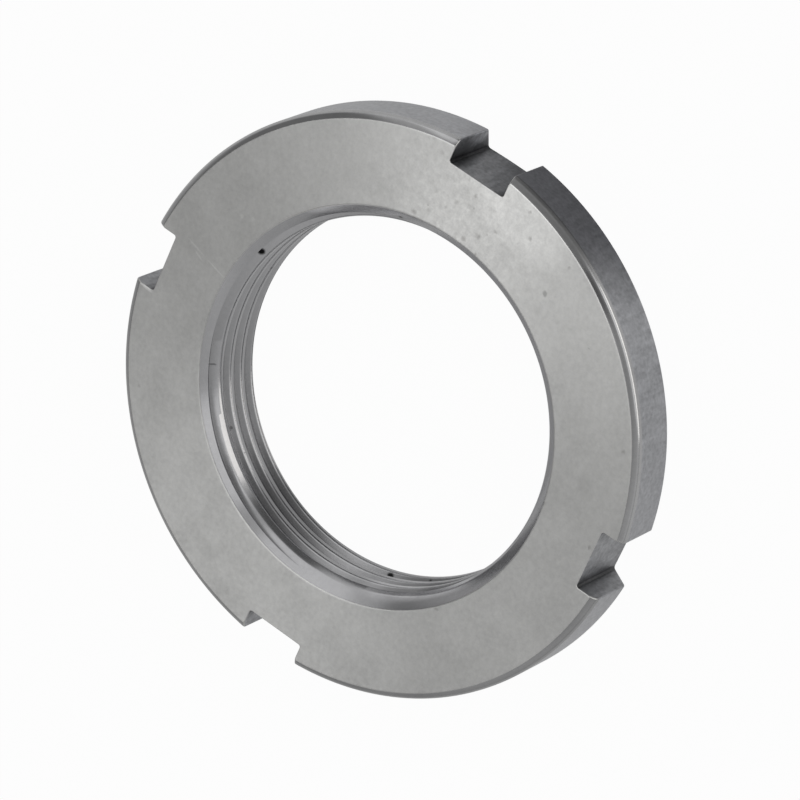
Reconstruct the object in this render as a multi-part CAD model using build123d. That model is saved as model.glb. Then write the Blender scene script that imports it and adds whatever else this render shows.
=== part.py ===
from build123d import *
import math
import os

# Slotted round lock nut for a 30 mm fine thread, lying on its seating face.
# The origin is the centre of the seating face and +Z is the axis of the thread.
# Driving dimensions, in millimetres and degrees.

# Ring
outside_diameter = 45.0
nut_width = 7.0

# Large chamfer that leaves a narrow seat, and the small break on the opposite rim
seat_diameter = 38.0
seat_chamfer_height = 2.6
rim_break_width = 0.56
rim_break_height = 0.33
rim_break_radius = 0.45      # where the break runs into the rim

# Thread: right hand, 30 x 1.5, bored at the crest of its ridges
thread_diameter = 30.0
thread_pitch = 1.5
crest_allowance = 0.3        # the bore may be this much over the basic crest diameter
mouth_clearance = 0.6        # how far the lead-in's mouth stands outside the thread
mouth_angle = 45.0           # between the lead-in and the face

# Spanner slots
slot_count = 4
slot_width = 5.0
slot_depth = 2.0
slot_root_radius = 0.2       # in the corners of the slot's floor
slot_mouth_radius = 0.14     # where the slot's walls meet the rim

# How far the cutting shapes run past the metal
overrun = 3.0

# Worked out from the sizes above
fine_thread_height = 1.0825  # basic height of a metric internal thread over both sides, in pitches
outside_radius = outside_diameter / 2
seat_radius = seat_diameter / 2
floor_radius = outside_radius - slot_depth
crest_radius = (thread_diameter - fine_thread_height * thread_pitch + crest_allowance) / 2
mouth_radius = thread_diameter / 2 + mouth_clearance
mouth_depth = (mouth_radius - crest_radius) * math.tan(math.radians(mouth_angle))


def ring_plan():
    """The nut seen from above: a disc with rounded slots in its rim and the bore."""
    with BuildSketch() as plan:
        Circle(outside_radius)
        with PolarLocations(floor_radius, slot_count):
            Rectangle(slot_depth + overrun, slot_width, align=(Align.MIN, Align.CENTER), mode=Mode.SUBTRACT)
        halfway = (floor_radius + outside_radius) / 2
        corners = plan.vertices()
        fillet(corners.filter_by(lambda corner: corner.center().length < halfway), slot_root_radius)
        fillet(
            plan.vertices().filter_by(lambda corner: corner.center().length > outside_radius - slot_root_radius),
            slot_mouth_radius,
        )
        Circle(crest_radius, mode=Mode.SUBTRACT)
    return plan.sketch


def corner_waste(face_radius, face_height, wall_radius, wall_height):
    """The ring of metal that a chamfer takes off, from a point on a face to a point on a wall."""
    start = Vector(face_radius, face_height)
    end = Vector(wall_radius, wall_height)
    along = (end - start).normalized() * overrun
    start, end = start - along, end + along
    with BuildPart() as waste:
        with BuildSketch(Plane.XZ):
            with BuildLine():
                Polyline((start.X, start.Y), (end.X, end.Y), (end.X, start.Y), close=True)
            make_face()
        revolve(axis=Axis.Z)
    return waste.part


def rim_waste():
    """The ring of metal outside the small break, with the break rounded into the rim's wall."""
    corner = Vector(outside_radius, nut_width - rim_break_height)
    inner_end = corner + Vector(-rim_break_width, rim_break_height).normalized() * overrun
    with BuildPart() as waste:
        with BuildSketch(Plane.XZ) as profile:
            with BuildLine():
                Polyline(
                    (inner_end.X, inner_end.Y),
                    (corner.X, corner.Y),
                    (corner.X, corner.Y - rim_break_radius),
                    (corner.X + overrun, corner.Y - rim_break_radius),
                    (corner.X + overrun, inner_end.Y),
                    close=True,
                )
            make_face()
            fillet(profile.vertices().sort_by_distance(corner)[0], rim_break_radius)
        revolve(axis=Axis.Z)
    return waste.part


def lock_nut():
    """The whole nut, one turned and slotted piece."""
    with BuildPart() as nut:
        add(ring_plan())
        extrude(amount=nut_width)
        # Seating side: the large chamfer and the thread's lead-in
        add(corner_waste(seat_radius, 0, outside_radius, seat_chamfer_height), mode=Mode.SUBTRACT)
        add(corner_waste(mouth_radius, 0, crest_radius, mouth_depth), mode=Mode.SUBTRACT)
        # Outer side: the broken rim and the other lead-in
        add(rim_waste(), mode=Mode.SUBTRACT)
        add(corner_waste(mouth_radius, nut_width, crest_radius, nut_width - mouth_depth), mode=Mode.SUBTRACT)
    return nut.part


os.makedirs("parts", exist_ok=True)
nut = lock_nut()
export_step(nut, "parts/lock_nut.step")
print(f"lock_nut: volume {nut.volume:.1f} mm3, bore {2 * crest_radius:.3f} mm, lead-in {mouth_depth:.3f} mm")
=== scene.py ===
import math

import bpy
from mathutils import Matrix, Vector


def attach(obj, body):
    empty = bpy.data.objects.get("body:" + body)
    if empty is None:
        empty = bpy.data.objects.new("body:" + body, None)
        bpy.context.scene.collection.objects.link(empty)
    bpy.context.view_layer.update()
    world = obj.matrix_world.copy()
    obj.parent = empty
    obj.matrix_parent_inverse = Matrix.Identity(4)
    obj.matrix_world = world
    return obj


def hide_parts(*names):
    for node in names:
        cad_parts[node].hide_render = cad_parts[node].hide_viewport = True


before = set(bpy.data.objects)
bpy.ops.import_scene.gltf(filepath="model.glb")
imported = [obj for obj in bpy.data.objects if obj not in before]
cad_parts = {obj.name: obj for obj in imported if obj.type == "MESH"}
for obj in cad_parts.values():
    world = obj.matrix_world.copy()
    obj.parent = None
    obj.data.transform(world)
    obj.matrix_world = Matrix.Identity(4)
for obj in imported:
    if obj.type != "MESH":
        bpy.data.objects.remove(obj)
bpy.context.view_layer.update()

mm = 0.001
mergeReach = 0.001 * mm                # points closer than this become one
print("frame loaded")


def deselectAll():
    bpy.ops.object.select_all(action="DESELECT")


def makeActive(piece):
    deselectAll()
    piece.select_set(True)
    bpy.context.view_layer.objects.active = piece


def startEditing(piece):
    makeActive(piece)
    bpy.ops.object.mode_set(mode="EDIT")


def stopEditing():
    bpy.ops.object.mode_set(mode="OBJECT")


def selectEdges(piece, isWanted):
    bpy.ops.mesh.select_mode(type="EDGE")
    bpy.ops.mesh.select_all(action="DESELECT")
    stopEditing()
    corners = piece.data.vertices
    for edge in piece.data.edges:
        start, end = [corners[index].co for index in edge.vertices]
        edge.select = isWanted(start, end)
    bpy.ops.object.mode_set(mode="EDIT")


def mergePoints():
    bpy.ops.mesh.select_all(action="SELECT")
    bpy.ops.mesh.remove_doubles(threshold=mergeReach)
    bpy.ops.mesh.normals_make_consistent(inside=False)


def applyModifier(piece, modifier):
    makeActive(piece)
    bpy.ops.object.modifier_apply(modifier=modifier.name)


def cutAway(piece, cutter):
    cut = piece.modifiers.new("cut", "BOOLEAN")
    cut.operation = "DIFFERENCE"
    cut.solver = "EXACT"
    cut.object = cutter
    applyModifier(piece, cut)
    bpy.data.objects.remove(cutter)


# The turned blank: radii from the thread's axis, heights and depths from its two faces
blankSizes = {
    "sides": 288,                      # round the ring, and the thread's steps in a turn
    "outsideRadius": 22.5 * mm,
    "width": 7.0 * mm,
    "faceEdgeRadius": 21.94 * mm,      # where the outer face meets the small break
    "breakHeight": 0.33 * mm,
    "breakRounding": 0.26 * mm,        # the break runs into the rim over this much of each
    "seatRadius": 19.0 * mm,
    "seatChamferHeight": 2.6 * mm,
    "mouthRadius": 15.52 * mm,         # lead-in at both ends of the thread, a little steeper past its knee
    "mouthRounding": 0.09 * mm,
    "kneeRadius": 14.64 * mm,
    "kneeDepth": 0.86 * mm,
    "kneeRounding": 0.1 * mm,
    "crestRadius": 14.338 * mm,
    "leadInDepth": 1.3 * mm,
    "roundingSteps": 5,
}


def pullRing(radius, newRadius, rise):
    bpy.ops.mesh.extrude_region_move(TRANSFORM_OT_translate={"value": (0, 0, rise)})
    ratio = newRadius / radius
    bpy.ops.transform.resize(value=(ratio, ratio, 1), center_override=(0, 0, 0))


# Rounds the ring of edges at one radius and height
def roundRing(piece, radius, height, rounding):
    slack = 0.01 * mm

    def isOnRing(start, end):
        for point in (start, end):
            if abs(point.z - height) > slack or abs(math.hypot(point.x, point.y) - radius) > slack:
                return False
        return True

    selectEdges(piece, isOnRing)
    bpy.ops.mesh.bevel(offset=rounding, segments=blankSizes["roundingSteps"], affect="EDGES")


# One ring of edges is pulled round the nut's section until it meets itself
def turnBlank():
    size = blankSizes
    width = size["width"]
    breakFoot = width - size["breakHeight"]
    section = [
        (size["faceEdgeRadius"], width),
        (size["outsideRadius"], breakFoot),
        (size["outsideRadius"], size["seatChamferHeight"]),
        (size["seatRadius"], 0),
        (size["mouthRadius"], 0),
        (size["kneeRadius"], size["kneeDepth"]),
        (size["crestRadius"], size["leadInDepth"]),
        (size["crestRadius"], width - size["leadInDepth"]),
        (size["kneeRadius"], width - size["kneeDepth"]),
        (size["mouthRadius"], width),
    ]
    section.append(section[0])
    deselectAll()
    bpy.ops.mesh.primitive_circle_add(
        vertices=size["sides"], radius=section[0][0], location=(0, 0, section[0][1]))
    blank = bpy.context.object
    bpy.ops.object.transform_apply(location=True, rotation=False, scale=False)
    blank.name = "nutBody"
    bpy.ops.object.mode_set(mode="EDIT")
    bpy.ops.mesh.select_all(action="SELECT")
    for (radius, height), (newRadius, newHeight) in zip(section, section[1:]):
        pullRing(radius, newRadius, newHeight - height)
    mergePoints()
    roundRing(blank, size["outsideRadius"], breakFoot, size["breakRounding"])
    for height in (size["kneeDepth"], width - size["kneeDepth"]):
        roundRing(blank, size["kneeRadius"], height, size["kneeRounding"])
    for height in (0, width):
        roundRing(blank, size["mouthRadius"], height, size["mouthRounding"])
    stopEditing()
    return blank


slotSizes = {
    "width": 5.0 * mm,
    "floorRadius": 20.5 * mm,
    "rootRadius": 0.2 * mm,
    "rootSteps": 4,
    "mouthRounding": 0.14 * mm,
    "mouthSteps": 5,
    "overrun": 2.0 * mm,               # how far the cutter runs past the metal
}


# Four slots: one cutter on +X, copied a quarter turn on each time
def millSlots(nut):
    size = slotSizes
    outer = blankSizes["outsideRadius"] + size["overrun"]
    length = outer - size["floorRadius"]
    height = blankSizes["width"] + 2 * size["overrun"]
    halfway = size["floorRadius"] + length / 2
    deselectAll()
    bpy.ops.mesh.primitive_cube_add(
        size=1, location=(halfway, 0, blankSizes["width"] / 2), scale=(length, size["width"], height))
    cutter = bpy.context.object
    bpy.ops.object.transform_apply(location=True, rotation=False, scale=True)
    startEditing(cutter)

    def isRootEdge(start, end):
        return max(start.x, end.x) < halfway and abs(start.z - end.z) > height / 2

    selectEdges(cutter, isRootEdge)
    bpy.ops.mesh.bevel(offset=size["rootRadius"], segments=size["rootSteps"], affect="EDGES")
    stopEditing()
    cutters = [cutter]
    for quarter in (1, 2, 3):
        copy = cutter.copy()
        copy.data = cutter.data.copy()
        copy.data.transform(Matrix.Rotation(math.radians(90 * quarter), 4, "Z"))
        bpy.context.collection.objects.link(copy)
        cutters.append(copy)
    for slotCutter in cutters:
        cutAway(nut, slotCutter)
    roundSlotMouths(nut)


def roundSlotMouths(nut):
    size = slotSizes
    wall = size["width"] / 2
    slack = 0.005 * mm
    pastRoots = size["floorRadius"] + 2 * size["rootRadius"]

    # The walls of a slot are a half width from X or Y; only their edges with the rim are wanted
    def isMouthEdge(start, end):
        for point in (start, end):
            offset = min(abs(point.x), abs(point.y))
            if abs(offset - wall) > slack:
                return False
            if math.hypot(point.x, point.y) < pastRoots:
                return False
        sameHeight = abs(start.z - end.z) < slack
        return not sameHeight

    startEditing(nut)
    selectEdges(nut, isMouthEdge)
    bpy.ops.mesh.bevel(
        offset=size["mouthRounding"], segments=size["mouthSteps"], affect="EDGES", clamp_overlap=True)
    stopEditing()


# The small rounding left on every turned and milled edge
edgeSizes = {
    "rounding": 0.07 * mm,
    "steps": 3,
    "sharperThan": 25,                 # degrees between two faces
    "smoothUpTo": 32,                  # degrees up to which they are shaded as one
}


def softenEdges(nut):
    bevel = nut.modifiers.new("edges", "BEVEL")
    bevel.width = edgeSizes["rounding"]
    bevel.segments = edgeSizes["steps"]
    bevel.limit_method = "ANGLE"
    bevel.angle_limit = math.radians(edgeSizes["sharperThan"])
    bevel.use_clamp_overlap = True
    applyModifier(nut, bevel)


# Right-hand thread, 30 x 1.5
threadSizes = {
    "pitch": 1.5 * mm,
    "grooveRadius": 15.07 * mm,
    "rootFlat": 0.16 * mm,
    "flankAngle": 30,                  # degrees between a flank and the plane across the axis
    "crestRounding": 0.28 * mm,        # radius of the ridges' corners
    "crestTurns": (60, 49, 38, 27, 16),      # degrees round a corner, from the flank towards the crest
    "innerEnd": 14.25 * mm,            # the cutter's inner side, clear of the crests
    "turns": 7,
    "firstGroove": -1.605 * mm,        # height of the first groove's middle on +X
}


# Half of a groove's section as radius and half width, from the root inwards
def grooveProfile():
    size = threadSizes
    slope = math.tan(math.radians(size["flankAngle"]))
    crest = blankSizes["crestRadius"]
    root = size["grooveRadius"]
    rounding = size["crestRounding"]
    rootHalf = size["rootFlat"] / 2
    # A ridge's corner is an arc round this middle
    middle = crest + rounding
    middleHalf = rootHalf + (root - crest + rounding) * slope
    profile = [(root, rootHalf)]
    for degrees in size["crestTurns"]:
        turn = math.radians(degrees)
        profile.append((middle - rounding * math.cos(turn), middleHalf - rounding * math.sin(turn)))
    # Then on at 45 degrees into the empty bore
    lastRadius, lastHalf = profile[-1]
    profile.append((size["innerEnd"], lastHalf + lastRadius - size["innerEnd"]))
    return profile


# The groove's section, screwed up through the bore and taken out of it
def cutThread(nut):
    size = threadSizes
    profile = grooveProfile()
    root = size["grooveRadius"]
    planeSize = 1
    deselectAll()
    bpy.ops.mesh.primitive_plane_add(size=planeSize, rotation=(math.radians(90), 0, 0))
    cutter = bpy.context.object
    bpy.ops.object.transform_apply(location=False, rotation=True, scale=False)
    # The upright plane's far side becomes the root, and is pulled inwards along the profile
    startEditing(cutter)

    def isFarSide(start, end):
        return start.x > 0 and end.x > 0

    selectEdges(cutter, isFarSide)
    bpy.ops.mesh.select_all(action="INVERT")
    bpy.ops.mesh.delete(type="EDGE")
    bpy.ops.mesh.select_all(action="SELECT")
    bpy.ops.transform.translate(value=(root - planeSize / 2, 0, 0))
    bpy.ops.transform.resize(value=(1, 1, size["rootFlat"] / planeSize), center_override=(0, 0, 0))
    for (radius, half), (newRadius, newHalf) in zip(profile, profile[1:]):
        bpy.ops.mesh.extrude_region_move(TRANSFORM_OT_translate={"value": (newRadius - radius, 0, 0)})
        bpy.ops.transform.resize(value=(1, 1, newHalf / half), center_override=(0, 0, 0))
    bpy.ops.mesh.select_all(action="SELECT")
    bpy.ops.transform.translate(value=(0, 0, size["firstGroove"]))
    bpy.ops.mesh.dissolve_faces()
    bpy.ops.mesh.delete(type="ONLY_FACE")
    stopEditing()
    screw = cutter.modifiers.new("turns", "SCREW")
    screw.axis = "Z"
    screw.angle = math.radians(360)
    screw.screw_offset = size["pitch"]
    screw.iterations = size["turns"]
    screw.steps = blankSizes["sides"]
    screw.render_steps = blankSizes["sides"]
    screw.use_merge_vertices = False
    applyModifier(cutter, screw)
    startEditing(cutter)
    bpy.ops.mesh.select_all(action="SELECT")
    bpy.ops.mesh.remove_doubles(threshold=mergeReach / 2)
    bpy.ops.mesh.fill_holes(sides=0)
    bpy.ops.mesh.select_all(action="SELECT")
    bpy.ops.mesh.normals_make_consistent(inside=False)
    stopEditing()
    cutAway(nut, cutter)
    # The cut leaves points nanometres apart where the groove's steps meet those of the ring
    startEditing(nut)
    mergePoints()
    stopEditing()


def finishShading(nut):
    makeActive(nut)
    bpy.ops.object.shade_smooth_by_angle(angle=math.radians(edgeSizes["smoothUpTo"]))
    weighted = nut.modifiers.new("weighted", "WEIGHTED_NORMAL")
    weighted.keep_sharp = True
    applyModifier(nut, weighted)


nut = turnBlank()
print("blank turned:", len(nut.data.polygons), "faces")
millSlots(nut)
print("slots milled:", len(nut.data.polygons), "faces")
softenEdges(nut)
print("edges softened:", len(nut.data.polygons), "faces")
cutThread(nut)
print("thread cut:", len(nut.data.polygons), "faces")
finishShading(nut)


# Node helpers: a source is either another node's socket or a plain value
def feed(tree, source, socket):
    if isinstance(source, bpy.types.NodeSocket):
        tree.links.new(source, socket)
    else:
        socket.default_value = source


def addMath(tree, operation, first, second=0.0):
    node = tree.nodes.new("ShaderNodeMath")
    node.operation = operation
    feed(tree, first, node.inputs[0])
    feed(tree, second, node.inputs[1])
    return node.outputs[0]


def addVectorMath(tree, operation, first, second):
    node = tree.nodes.new("ShaderNodeVectorMath")
    node.operation = operation
    feed(tree, first, node.inputs[0])
    feed(tree, second, node.inputs[1])
    return node.outputs["Value" if operation in ("DISTANCE", "LENGTH") else "Vector"]


def addRange(tree, value, fromLow, fromHigh, toLow=0.0, toHigh=1.0):
    node = tree.nodes.new("ShaderNodeMapRange")
    node.interpolation_type = "SMOOTHSTEP"
    feed(tree, value, node.inputs["Value"])
    feed(tree, fromLow, node.inputs["From Min"])
    feed(tree, fromHigh, node.inputs["From Max"])
    feed(tree, toLow, node.inputs["To Min"])
    feed(tree, toHigh, node.inputs["To Max"])
    return node.outputs["Result"]


def addNoise(tree, place, grainSize, detail=2.0, roughness=0.5, output="Fac"):
    node = tree.nodes.new("ShaderNodeTexNoise")
    feed(tree, place, node.inputs["Vector"])
    node.inputs["Scale"].default_value = 1 / grainSize
    node.inputs["Detail"].default_value = detail
    node.inputs["Roughness"].default_value = roughness
    return node.outputs[output]


def addMix(tree, factor, first, second, blend="MIX"):
    node = tree.nodes.new("ShaderNodeMix")
    node.data_type = "RGBA"
    node.blend_type = blend
    feed(tree, factor, node.inputs["Factor"])
    feed(tree, first, node.inputs["A"])
    feed(tree, second, node.inputs["B"])
    return node.outputs["Result"]


def objectPlace(tree):
    return tree.nodes.new("ShaderNodeTexCoord").outputs["Object"]


def splitPlace(tree):
    parts = tree.nodes.new("ShaderNodeSeparateXYZ")
    feed(tree, objectPlace(tree), parts.inputs["Vector"])
    return parts.outputs["X"], parts.outputs["Y"], parts.outputs["Z"]


def joinPlace(tree, x, y, z):
    joined = tree.nodes.new("ShaderNodeCombineXYZ")
    feed(tree, x, joined.inputs["X"])
    feed(tree, y, joined.inputs["Y"])
    feed(tree, z, joined.inputs["Z"])
    return joined.outputs["Vector"]


# Moves each place by a noise of its own, so that what is drawn there gets an uneven border
def addWander(tree, place, grainSize, reach, middle):
    wander = addNoise(tree, place, grainSize, output="Color")
    shift = addVectorMath(tree, "SUBTRACT", wander, (middle, middle, middle))
    shift = addVectorMath(tree, "MULTIPLY", shift, (reach, reach, reach))
    return addVectorMath(tree, "ADD", place, shift)


def makeGroup(name, inputs, output):
    tree = bpy.data.node_groups.new(name, "ShaderNodeTree")
    for label, value in inputs.items():
        socket = tree.interface.new_socket(name=label, in_out="INPUT", socket_type="NodeSocketFloat")
        socket.default_value = value
    tree.interface.new_socket(name=output, in_out="OUTPUT", socket_type="NodeSocketFloat")
    given = tree.nodes.new("NodeGroupInput").outputs
    result = tree.nodes.new("NodeGroupOutput").inputs[output]
    return tree, given, result


def useGroup(tree, group, **settings):
    node = tree.nodes.new("ShaderNodeGroup")
    node.node_tree = group
    for label, value in settings.items():
        feed(tree, value, node.inputs[label])
    return node.outputs[0]


# Sizes of the patterns that the finishes share
patternSizes = {
    "grain": 0.34 * mm,
    "cloud": 3.6 * mm,
    "speckCell": 0.9 * mm,             # room for one speck
    "speckWander": 0.3 * mm,
    "speckShift": 0.25 * mm,
    "smallestSpeck": 0.35,             # share of the largest one's size
    "turnedLine": 0.11 * mm,
    "lineDepth": 0.004 * mm,
    "streak": 0.55 * mm,
    "markWander": 0.2 * mm,
    "markShift": 0.1 * mm,
    "core": 0.4,                       # a mark or stretch is full within this share of its reach
}


# A factor near 1 for the colour: fine grain with slow clouds over it
def makeSteelGrain():
    tree, given, result = makeGroup("steelGrain", {"Grain": 0.1, "Clouds": 0.1}, "Tone")
    place = objectPlace(tree)
    fine = addMath(tree, "SUBTRACT", addNoise(tree, place, patternSizes["grain"], 3, 0.6), 0.5)
    slow = addMath(tree, "SUBTRACT", addNoise(tree, place, patternSizes["cloud"], 2), 0.5)
    fine = addMath(tree, "MULTIPLY", fine, given["Grain"])
    slow = addMath(tree, "MULTIPLY", slow, given["Clouds"])
    tree.links.new(addMath(tree, "ADD", addMath(tree, "ADD", fine, slow), 1), result)
    return tree


# Small soft dark specks: a share of the cells of a pattern has one, each of its own size
def makeDarkSpecks():
    size = patternSizes
    tree, given, result = makeGroup("darkSpecks", {"Share": 0.1, "Size": 0.3}, "Mask")
    place = addWander(tree, objectPlace(tree), size["speckWander"], size["speckShift"], 0)
    cells = tree.nodes.new("ShaderNodeTexVoronoi")
    cells.inputs["Scale"].default_value = 1 / size["speckCell"]
    feed(tree, place, cells.inputs["Vector"])
    lot = tree.nodes.new("ShaderNodeSeparateColor")
    feed(tree, cells.outputs["Color"], lot.inputs["Color"])
    isThere = addMath(tree, "LESS_THAN", lot.outputs["Red"], given["Share"])
    share = addRange(tree, lot.outputs["Green"], 0, 1, size["smallestSpeck"], 1)
    reach = addMath(tree, "MULTIPLY", given["Size"], share)
    spot = addRange(tree, cells.outputs["Distance"], reach, 0.0)
    tree.links.new(addMath(tree, "MULTIPLY", spot, isThere), result)
    return tree


# Fine lines that run round the axis on faces, walls and chamfers alike
def makeTurnedLines():
    tree, given, result = makeGroup("turnedLines", {"Break": 0.03}, "Height")
    x, y, z = splitPlace(tree)
    squares = addMath(tree, "ADD", addMath(tree, "POWER", x, 2), addMath(tree, "POWER", y, 2))
    radius = addMath(tree, "SQRT", squares)
    drift = addMath(tree, "MULTIPLY", addMath(tree, "ADD", x, y), given["Break"])
    place = joinPlace(tree, radius, z, drift)
    tree.links.new(addNoise(tree, place, patternSizes["turnedLine"], 2), result)
    return tree


# Streaks along the axis, as a cutter drawn through or a wipe leaves them
def makeAxialStreaks():
    tree, given, result = makeGroup("axialStreaks", {"Stretch": 0.2}, "Streak")
    x, y, z = splitPlace(tree)
    place = joinPlace(tree, x, y, addMath(tree, "MULTIPLY", z, given["Stretch"]))
    tree.links.new(addNoise(tree, place, patternSizes["streak"], 4, 0.6), result)
    return tree


steelGrain = makeSteelGrain()
darkSpecks = makeDarkSpecks()
turnedLines = makeTurnedLines()
axialStreaks = makeAxialStreaks()


# A bare metal with the steel's grain in its tone, which each finish then adds to
def startFinish(name, look):
    material = bpy.data.materials.new(name)
    material.use_nodes = True
    tree = material.node_tree
    shader = tree.nodes["Principled BSDF"]
    shader.inputs["Metallic"].default_value = 1
    shader.inputs["Roughness"].default_value = look["roughness"]
    tone = useGroup(tree, steelGrain, Grain=look["grain"], Clouds=look["clouds"])
    return material, tree, shader, tone


def addTone(tree, colour, tone):
    grey = tree.nodes.new("ShaderNodeCombineColor")
    for channel in ("Red", "Green", "Blue"):
        feed(tree, tone, grey.inputs[channel])
    return addMix(tree, 1.0, (*colour, 1), grey.outputs["Color"], "MULTIPLY")


def addBump(tree, shader, height, strength, depth):
    bump = tree.nodes.new("ShaderNodeBump")
    bump.inputs["Strength"].default_value = strength
    bump.inputs["Distance"].default_value = depth
    feed(tree, height, bump.inputs["Height"])
    feed(tree, bump.outputs["Normal"], shader.inputs["Normal"])


# Single marks are ellipsoids: place and reach in mm, reach being half the length, width and height,
# turned in degrees round the axis, and change the share by which they are lighter or darker
def addMarks(tree, tone, marks):
    size = patternSizes
    place = addWander(tree, objectPlace(tree), size["markWander"], size["markShift"], 0.5)
    for mark in marks:
        local = tree.nodes.new("ShaderNodeMapping")
        local.vector_type = "TEXTURE"
        feed(tree, place, local.inputs["Vector"])
        local.inputs["Location"].default_value = [value * mm for value in mark["place"]]
        local.inputs["Rotation"].default_value = (0, 0, math.radians(mark["turned"]))
        local.inputs["Scale"].default_value = [value * mm for value in mark["reach"]]
        distance = addVectorMath(tree, "LENGTH", local.outputs["Vector"], (0, 0, 0))
        effect = addRange(tree, distance, 1, size["core"], 1, 1 + mark["change"])
        tone = addMath(tree, "MULTIPLY", tone, effect)
    return tone


# 1 in a stretch of the ring, by the angle from its middle, fading to 0 at its end
def addStretch(tree, middle, reach):
    x, y, z = splitPlace(tree)
    angle = addMath(tree, "SUBTRACT", addMath(tree, "ARCTAN2", y, x), math.radians(middle))
    offset = addMath(tree, "PINGPONG", angle, math.pi)
    return addRange(tree, offset, math.radians(reach), math.radians(reach * patternSizes["core"]))


# Finishes: colours as linear values; grain, clouds and streaks as shares of the colour
faceLook = {
    "colour": (0.56, 0.56, 0.55),
    "roughness": 0.36,
    "roughnessChange": 0.5,            # per unit of the grain's change of tone
    "grain": 0.34,
    "clouds": 0.25,
    "speckColour": (0.3, 0.29, 0.28),
    "speckPlace": (17.6 * mm, -0.5 * mm, 7 * mm),      # most of the specks, and the painted highlight, lie round here
    "speckReach": 8 * mm,
    "speckShare": 0.03,
    "speckShareThere": 1.0,
    "speckSize": 0.36,                 # in cells of the pattern
    "speckDepth": 0.6,
    "paintedHighlightThere": 1.17,
    "paintedHighlightReach": 12 * mm,
    "mottleThere": 0.7,
    "mottleGrain": 0.4 * mm,
    "brushing": 0.7,                   # how far reflections are drawn out across the turned lines
    "brushingTurn": 0.25,              # of a whole turn
    "lineBump": 0.08,
}

# The last mark, a wide lighter patch on the face beside the slot on +X, is painted highlight
faceMarksAndPaintedHighlight = [
    {"place": (2.72, 18.55, 7), "reach": (1.2, 0.11, 1), "turned": 75.5, "change": 0.12},
    {"place": (2.16, 16.41, 7), "reach": (1.2, 0.1, 1), "turned": 75.5, "change": 0.15},
    {"place": (2.23, 18.08, 7), "reach": (0.6, 0.12, 1), "turned": 66, "change": 0.16},
    {"place": (7.13, 16.09, 7), "reach": (0.22, 0.22, 1), "turned": 0, "change": 0.12},
    {"place": (7.44, 15.16, 7), "reach": (0.2, 0.2, 1), "turned": 0, "change": 0.1},
    {"place": (-5.6, -17.9, 7), "reach": (11, 11, 4), "turned": 0, "change": 0.15},
    {"place": (-2.62, 21.1, 7), "reach": (0.16, 0.75, 1), "turned": -4, "change": 0.35},
    {"place": (-18.36, 8, 7), "reach": (1.5, 0.9, 1), "turned": 60, "change": -0.09},
    {"place": (4.9, -17.73, 7), "reach": (1.1, 0.7, 1), "turned": 20, "change": -0.07},
    {"place": (15.96, -8.64, 7), "reach": (0.32, 0.25, 1), "turned": 30, "change": -0.35},
    {"place": (20.2, -4.6, 7), "reach": (6, 3.4, 2), "turned": 77, "change": 0.2},
]


def makeGroundFace():
    look = faceLook
    material, tree, shader, tone = startFinish("groundFace", look)
    distance = addVectorMath(tree, "DISTANCE", objectPlace(tree), look["speckPlace"])
    share = addRange(tree, distance, 0, look["speckReach"], look["speckShareThere"], look["speckShare"])
    specks = useGroup(tree, darkSpecks, Share=share, Size=look["speckSize"])
    specks = addMath(tree, "MULTIPLY", specks, look["speckDepth"])
    change = addMath(tree, "MULTIPLY", addMath(tree, "SUBTRACT", tone, 1), look["roughnessChange"])
    feed(tree, addMath(tree, "ADD", change, look["roughness"]), shader.inputs["Roughness"])
    # Painted highlight: the face's colour is made lighter round the specks' place, with more mottle there
    bright = addRange(tree, distance, 0, look["paintedHighlightReach"], look["paintedHighlightThere"], 1)
    mottle = addMath(tree, "SUBTRACT", addNoise(tree, objectPlace(tree), look["mottleGrain"], 3, 0.65), 0.5)
    depth = addRange(tree, distance, 0, look["paintedHighlightReach"], look["mottleThere"], 0)
    bright = addMath(tree, "ADD", bright, addMath(tree, "MULTIPLY", mottle, depth))
    tone = addMarks(tree, addMath(tree, "MULTIPLY", tone, bright), faceMarksAndPaintedHighlight)
    colour = addMix(tree, specks, addTone(tree, look["colour"], tone), (*look["speckColour"], 1))
    feed(tree, colour, shader.inputs["Base Color"])
    shader.inputs["Anisotropic"].default_value = look["brushing"]
    shader.inputs["Anisotropic Rotation"].default_value = look["brushingTurn"]
    tangent = tree.nodes.new("ShaderNodeTangent")
    tangent.direction_type = "RADIAL"
    tangent.axis = "Z"
    feed(tree, tangent.outputs["Tangent"], shader.inputs["Tangent"])
    addBump(tree, shader, useGroup(tree, turnedLines), look["lineBump"], patternSizes["lineDepth"])
    return material


rimLook = {
    "colour": (0.45, 0.455, 0.475),
    "roughness": 0.3,
    "grain": 0.8,
    "clouds": 0.2,
    "streaksRound": -42,               # degrees from +X to the middle of the streaked stretch
    "streaksReach": 40,
    "streakDepth": 0.75,
    "lineBump": 0.15,
}


def makeTurnedRim():
    look = rimLook
    material, tree, shader, tone = startFinish("turnedRim", look)
    streak = addMath(tree, "SUBTRACT", useGroup(tree, axialStreaks), 0.5)
    stretch = addStretch(tree, look["streaksRound"], look["streaksReach"])
    depth = addMath(tree, "MULTIPLY", stretch, look["streakDepth"])
    tone = addMath(tree, "ADD", tone, addMath(tree, "MULTIPLY", streak, depth))
    feed(tree, addTone(tree, look["colour"], tone), shader.inputs["Base Color"])
    addBump(tree, shader, useGroup(tree, turnedLines), look["lineBump"], patternSizes["lineDepth"])
    return material


# The small break between face and rim, turned smoother and left darker, with stretches darkened further as
# painted shade
breakLook = {
    "colour": (0.52, 0.52, 0.525),
    "roughness": 0.12,
    "grain": 0.2,
    "clouds": 0.3,
    "lineBump": 0.15,
    "dullShadedStretches": [                 # degrees from +X to the middle of each, and from there to its ends; each is rougher, and darker as painted shade
        {"round": -12, "reach": 24, "tone": 0.5, "roughness": 0.4},
        {"round": -118, "reach": 44, "tone": 0.74, "roughness": 0.2},
        {"round": 150, "reach": 90, "tone": 0.64, "roughness": 0.15},
    ],
}


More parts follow.
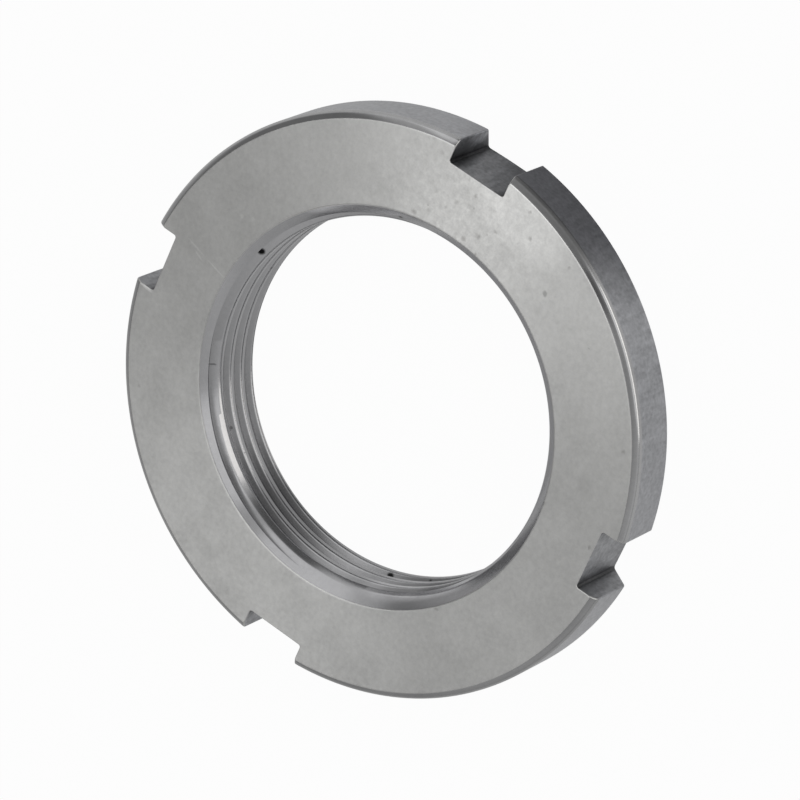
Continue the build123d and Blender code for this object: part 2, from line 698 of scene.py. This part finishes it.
def makeTurnedBreak():
    look = breakLook
    material, tree, shader, tone = startFinish("turnedBreak", look)
    roughness = look["roughness"]
    for stretch in look["dullShadedStretches"]:
        dullShaded = addStretch(tree, stretch["round"], stretch["reach"])
        tone = addMath(tree, "MULTIPLY", tone, addRange(tree, dullShaded, 0, 1, 1, stretch["tone"]))
        roughness = addRange(tree, dullShaded, 0, 1, roughness, stretch["roughness"])
    feed(tree, roughness, shader.inputs["Roughness"])
    feed(tree, addTone(tree, look["colour"], tone), shader.inputs["Base Color"])
    addBump(tree, shader, useGroup(tree, turnedLines), look["lineBump"], patternSizes["lineDepth"])
    return material


slotLook = {
    "colour": (0.41, 0.415, 0.43),
    "roughness": 0.45,
    "grain": 1.0,
    "clouds": 0.1,
    "streakStretch": 0.3,
    "streakDepth": 1.0,
    "cornerShadeReach": 1.3 * mm,             # painted shade in the slot's corners, dark, and darkest in the root
    "cornerShadeTone": 0.6,
    "rootShadeCore": 0.08 * mm,
    "rootShadeReach": 0.4 * mm,
    "rootShadeTone": 0.4,
    "bump": 0.3,
    "bumpDepth": 0.02 * mm,
}

# Painted light and shade on the slot on +X: the first mark lightens its wall by the mouth, the second
# darkens the corner of its floor and wall under the face
slotPaintedLightAndShade = [
    {"place": (22.2, 2.6, 3.3), "reach": (1.2, 0.8, 2.4), "turned": 0, "change": 0.9},
    {"place": (20.9, 2.2, 5.8), "reach": (1.4, 1.2, 2), "turned": 0, "change": -0.35},
]


# Painted shade: 1 over most of a slot and darker in the two corners of its floor, where shade falls
def addCornerShade(tree, look):
    x, y, z = splitPlace(tree)
    across = addMath(tree, "ABSOLUTE", x)
    along = addMath(tree, "ABSOLUTE", y)
    sideways = addMath(tree, "SUBTRACT", addMath(tree, "MINIMUM", across, along), slotSizes["width"] / 2)
    outwards = addMath(tree, "SUBTRACT", addMath(tree, "MAXIMUM", across, along), slotSizes["floorRadius"])
    distance = addVectorMath(tree, "LENGTH", joinPlace(tree, sideways, outwards, 0), (0, 0, 0))
    wide = addRange(tree, distance, 0, look["cornerShadeReach"], look["cornerShadeTone"], 1)
    root = addRange(tree, distance, look["rootShadeCore"], look["rootShadeReach"], look["rootShadeTone"], 1)
    return addMath(tree, "MULTIPLY", wide, root)


def makeMilledSlot():
    look = slotLook
    material, tree, shader, tone = startFinish("milledSlot", look)
    streak = useGroup(tree, axialStreaks, Stretch=look["streakStretch"])
    streak = addMath(tree, "SUBTRACT", streak, 0.5)
    tone = addMath(tree, "ADD", tone, addMath(tree, "MULTIPLY", streak, look["streakDepth"]))
    tone = addMarks(tree, addMath(tree, "MULTIPLY", tone, addCornerShade(tree, look)), slotPaintedLightAndShade)
    feed(tree, addTone(tree, look["colour"], tone), shader.inputs["Base Color"])
    addBump(tree, shader, tone, look["bump"], look["bumpDepth"])
    return material


# The lead-ins and the thread
boreLook = {
    "colour": (0.5, 0.5, 0.51),
    "roughness": 0.19,
    "grain": 0.16,
    "clouds": 0.12,
    "speckColour": (0.06, 0.06, 0.06),
    "speckShare": 0.02,
    "speckSize": 0.3,
    "lineBreak": 0.01,
    "lineBump": 0.2,
}

# The first six are small dark spots; the seventh darkens a wide stretch of the thread as painted shade, and
# the last three lighten stretches of the thread and lead-in as painted reflection
boreMarksAndPaintedLight = [
    {"place": (5.05, 13.96, 5.98), "reach": (0.42, 0.42, 0.42), "turned": 0, "change": -0.98},
    {"place": (-13.82, -4.78, 1.89), "reach": (0.3, 0.42, 0.3), "turned": 19, "change": -0.95},
    {"place": (-12.16, -7.92, 1.88), "reach": (0.16, 0.16, 0.16), "turned": 0, "change": -0.7},
    {"place": (-5.24, 13.88, 6.15), "reach": (0.38, 0.11, 0.4), "turned": 111, "change": -0.45},
    {"place": (-9.72, 11.05, 4.66), "reach": (0.18, 0.18, 0.18), "turned": 0, "change": -0.5},
    {"place": (14.25, 4.49, 6.43), "reach": (0.24, 0.24, 0.24), "turned": 0, "change": -0.6},
    {"place": (-13.9, 4.5, 3), "reach": (2, 6, 3.6), "turned": 162, "change": -0.28},
    {"place": (-12.9, -6.9, 4.6), "reach": (1.2, 3.8, 2.6), "turned": 28, "change": 0.45},
    {"place": (13.1, 7.6, 6.7), "reach": (6.6, 0.9, 0.8), "turned": 120, "change": 0.85},
    {"place": (-10.25, -10.25, 5.9), "reach": (6, 0.7, 0.9), "turned": 315, "change": 0.6},
]


def makeCutBore():
    look = boreLook
    material, tree, shader, tone = startFinish("cutBore", look)
    tone = addMarks(tree, tone, boreMarksAndPaintedLight)
    specks = useGroup(tree, darkSpecks, Share=look["speckShare"], Size=look["speckSize"])
    colour = addMix(tree, specks, addTone(tree, look["colour"], tone), (*look["speckColour"], 1))
    feed(tree, colour, shader.inputs["Base Color"])
    lines = useGroup(tree, turnedLines, Break=look["lineBreak"])
    addBump(tree, shader, lines, look["lineBump"], patternSizes["lineDepth"])
    return material


# What tells a face's finish: up is its normal's part along the axis, out its part away from the axis
finishLimits = {
    "slack": 0.1 * mm,
    "faceUp": 0.93,
    "faceUpAtMouth": 0.8,              # where the flat face runs into the mouth's rounding
    "faceUpInMouth": 0.995,
    "slotUp": 0.3,
    "breakUp": 0.12,
    "rimOut": 0.7,
    "rimAboveFloor": 1.1 * mm,         # the rim starts this far above the slots' floors
}


def finishOf(centre, normal):
    limit = finishLimits
    slack = limit["slack"]
    radius = math.hypot(centre.x, centre.y)
    fromMouth = radius - blankSizes["mouthRadius"]
    if abs(fromMouth) < 2 * slack and abs(normal.z) > limit["faceUpAtMouth"]:
        return "groundFace"
    if fromMouth < 2 * slack and abs(normal.z) < limit["faceUpInMouth"]:
        return "cutBore"
    if abs(normal.z) > limit["faceUp"]:
        return "groundFace"
    inSlot = min(abs(centre.x), abs(centre.y)) < slotSizes["width"] / 2 + slack
    outward = (normal.x * centre.x + normal.y * centre.y) / radius
    onRim = outward > limit["rimOut"] and radius > slotSizes["floorRadius"] + limit["rimAboveFloor"]
    if inSlot and not onRim:
        return "milledSlot" if abs(normal.z) < limit["slotUp"] else "groundFace"
    if normal.z > limit["breakUp"] and radius > blankSizes["faceEdgeRadius"]:
        return "turnedBreak"
    return "turnedRim"


def dressNut(nut):
    finishes = {
        "groundFace": makeGroundFace(),
        "turnedRim": makeTurnedRim(),
        "turnedBreak": makeTurnedBreak(),
        "milledSlot": makeMilledSlot(),
        "cutBore": makeCutBore(),
    }
    order = list(finishes)
    for name in order:
        nut.data.materials.append(finishes[name])
    for face in nut.data.polygons:
        face.material_index = order.index(finishOf(face.center, face.normal))


dressNut(nut)
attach(nut, "root")
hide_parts("lock_nut")
print("nut dressed")


white = (1, 1, 1, 1)

# The floor is painted for the light it throws back, and mixed with plain white for what looks at it
stageLook = {
    "floorSize": 4.0,
    "floorColour": (0.55, 0.55, 0.545),
    "whiteToTheEye": 0.97,             # share of plain white in what the camera sees of the floor
    "whiteToTheMetal": 0.35,           # and in what the metal shows of it
}


def makeMattPaint(name, colour):
    material = bpy.data.materials.new(name)
    material.use_nodes = True
    tree = material.node_tree
    shader = tree.nodes["Principled BSDF"]
    shader.inputs["Base Color"].default_value = (*colour, 1)
    shader.inputs["Roughness"].default_value = 0.9
    shader.inputs["Specular IOR Level"].default_value = 0
    return material, tree, shader


def layFloor():
    deselectAll()
    bpy.ops.mesh.primitive_plane_add(size=stageLook["floorSize"])
    floor = bpy.context.object
    floor.name = "floor"
    material, tree, shader = makeMattPaint("paleFloor", stageLook["floorColour"])
    ray = tree.nodes.new("ShaderNodeLightPath").outputs
    toEye = addMath(tree, "MULTIPLY", ray["Is Camera Ray"], stageLook["whiteToTheEye"])
    mirrored = addMath(tree, "ADD", ray["Is Glossy Ray"], ray["Is Transmission Ray"])
    toMetal = addMath(tree, "MULTIPLY", mirrored, stageLook["whiteToTheMetal"])
    plain = tree.nodes.new("ShaderNodeEmission")
    plain.inputs["Color"].default_value = white
    plain.inputs["Strength"].default_value = 1
    mix = tree.nodes.new("ShaderNodeMixShader")
    feed(tree, addMath(tree, "ADD", toEye, toMetal), mix.inputs["Fac"])
    feed(tree, shader.outputs["BSDF"], mix.inputs[1])
    feed(tree, plain.outputs["Emission"], mix.inputs[2])
    feed(tree, mix.outputs["Shader"], tree.nodes["Material Output"].inputs["Surface"])
    floor.data.materials.append(material)


# Painted shadow: darker cards on the floor beside the nut and in its hole, which only the metal sees, stand
# in for the shade that falls there.
# Border is the share of a card's breadth over which each of two sides fades
paintedShadowCards = {
    "besideNut": {
        "corners": ((19 * mm, -18 * mm), (90 * mm, 7 * mm)),
        "height": 0.1 * mm,
        "colour": (0.3, 0.3, 0.31),
        "border": 0.36,
    },
    "inHole": {
        "corners": ((-8 * mm, -8 * mm), (8 * mm, 8 * mm)),
        "height": 0.1 * mm,
        "colour": (0.6, 0.6, 0.61),
        "border": 0.15,
    },
}


def layPaintedShadowCard(name, look):
    (left, front), (right, back) = look["corners"]
    deselectAll()
    bpy.ops.mesh.primitive_plane_add(
        size=1, location=((left + right) / 2, (front + back) / 2, look["height"]))
    card = bpy.context.object
    card.scale = (right - left, back - front, 1)
    card.name = name
    card.visible_camera = False
    card.visible_diffuse = False
    card.visible_shadow = False
    material, tree, shader = makeMattPaint("paintedShadowGrey", look["colour"])
    x, y, z = splitPlace(tree)
    fromMiddle = addMath(tree, "ABSOLUTE", y)
    feed(tree, addRange(tree, fromMiddle, 0.5, 0.5 - look["border"]), shader.inputs["Alpha"])
    card.data.materials.append(material)


# The room's grey by degrees above the floor
roomGreys = {0: 0.44, 14: 0.46, 27: 0.56, 38: 0.48, 50: 0.42, 62: 0.32, 90: 1.0}

# Parts of the room that differ: degrees round from +X and above the floor, with soft borders
roomPatches = [
    {"round": (-76, -20), "above": (28, 50), "soft": 8, "grey": 0.9},
    {"round": (-2, 48), "above": (19, 47), "soft": 8, "grey": 0.85},
    {"round": (-42, 27), "above": (54, 80), "soft": 18, "grey": 0.13},
    {"round": (-21, 24), "above": (-20, 24), "soft": 5, "grey": 0.12},
    {"round": (95, 180), "above": (52, 86), "soft": 12, "grey": 0.55},
    {"round": (30, 60), "above": (-10, 20), "soft": 8, "grey": 0.62},
    {"round": (62, 125), "above": (12, 44), "soft": 12, "grey": 0.2},
]


# A window of angles with soft borders, 1 inside
def addWindow(tree, angle, span, soft):
    low, high = [math.radians(value) for value in span]
    border = math.radians(soft)
    rise = addRange(tree, angle, low - border / 2, low + border / 2)
    fall = addRange(tree, angle, high + border / 2, high - border / 2)
    return addMath(tree, "MULTIPLY", rise, fall)


def lightWorld():
    world = bpy.data.worlds.new("studio")
    bpy.context.scene.world = world
    world.use_nodes = True
    tree = world.node_tree
    direction = tree.nodes.new("ShaderNodeSeparateXYZ")
    feed(tree, tree.nodes.new("ShaderNodeTexCoord").outputs["Generated"], direction.inputs["Vector"])
    above = addMath(tree, "ARCSINE", direction.outputs["Z"])
    around = addMath(tree, "ARCTAN2", direction.outputs["Y"], direction.outputs["X"])
    ramp = tree.nodes.new("ShaderNodeValToRGB")
    feed(tree, addMath(tree, "DIVIDE", above, math.radians(90)), ramp.inputs["Fac"])
    # A new ramp has two stops, of which the first stays
    stops = ramp.color_ramp.elements
    stops.remove(stops[1])
    for degrees, grey in roomGreys.items():
        stop = stops.new(degrees / 90) if degrees else stops[0]
        stop.color = (grey, grey, grey, 1)
    tone = ramp.outputs["Color"]
    for patch in roomPatches:
        inside = addMath(
            tree, "MULTIPLY",
            addWindow(tree, around, patch["round"], patch["soft"]),
            addWindow(tree, above, patch["above"], patch["soft"]))
        tone = addMix(tree, inside, tone, (patch["grey"], patch["grey"], patch["grey"], 1))
    isSeen = tree.nodes.new("ShaderNodeLightPath").outputs["Is Camera Ray"]
    feed(tree, addMix(tree, isSeen, tone, white), tree.nodes["Background"].inputs["Color"])


# Directions in degrees round the thread's axis from +X and above the floor; sizes in metres.
# Glow is how bright a lamp's own face is, 1 being white
lamps = {
    "overhead": {
        "round": 81.8,
        "above": 74,
        "distance": 0.6,
        "width": 0.43,
        "height": 0.43,
        "glow": 0.72,
        "colour": (1, 1, 1),
    },
    "lowStrip": {
        "round": -53.5,
        "above": 14,
        "distance": 0.5,
        "width": 0.42,
        "height": 0.17,
        "glow": 0.84,
        "colour": (1, 0.975, 0.93),
    },
}


def placeLamp(name, lamp):
    around = math.radians(lamp["round"])
    above = math.radians(lamp["above"])
    direction = Vector((
        math.cos(above) * math.cos(around),
        math.cos(above) * math.sin(around),
        math.sin(above)))
    light = bpy.data.lights.new(name, "AREA")
    light.shape = "RECTANGLE"
    light.size = lamp["width"]
    light.size_y = lamp["height"]
    # An area lamp's face glows at a quarter of its watts per square metre
    light.energy = 4 * lamp["glow"] * lamp["width"] * lamp["height"]
    light.color = lamp["colour"]
    holder = bpy.data.objects.new(name, light)
    holder.location = direction * lamp["distance"]
    holder.rotation_euler = direction.to_track_quat("Z", "Y").to_euler()
    bpy.context.scene.collection.objects.link(holder)


photoCamera = {
    "place": (181.88 * mm, -137.46 * mm, 335.68 * mm),
    "aim": (0.012 * mm, -0.238 * mm, 3.5 * mm),
    "roll": 113.312,                   # degrees, clockwise, from upright
    "lens": 241.94,
    "sensor": 36,
    "nearest": 0.01,                   # metres
    "farthest": 10,
}


def setCamera():
    place = Vector(photoCamera["place"])
    aim = Vector(photoCamera["aim"])
    camera = bpy.data.cameras.new("photoCamera")
    camera.lens = photoCamera["lens"]
    camera.sensor_width = photoCamera["sensor"]
    camera.clip_start = photoCamera["nearest"]
    camera.clip_end = photoCamera["farthest"]
    holder = bpy.data.objects.new("photoCamera", camera)
    upright = (aim - place).to_track_quat("-Z", "Y").to_matrix()
    turn = Matrix.Rotation(math.radians(-photoCamera["roll"]), 3, "Z")
    holder.matrix_world = Matrix.Translation(place) @ (upright @ turn).to_4x4()
    bpy.context.scene.collection.objects.link(holder)
    bpy.context.scene.camera = holder


layFloor()
for cardName, card in paintedShadowCards.items():
    layPaintedShadowCard(cardName, card)
lightWorld()
for lampName, lamp in lamps.items():
    placeLamp(lampName, lamp)
setCamera()
bpy.context.scene.view_settings.view_transform = "Standard"
print("stage set")
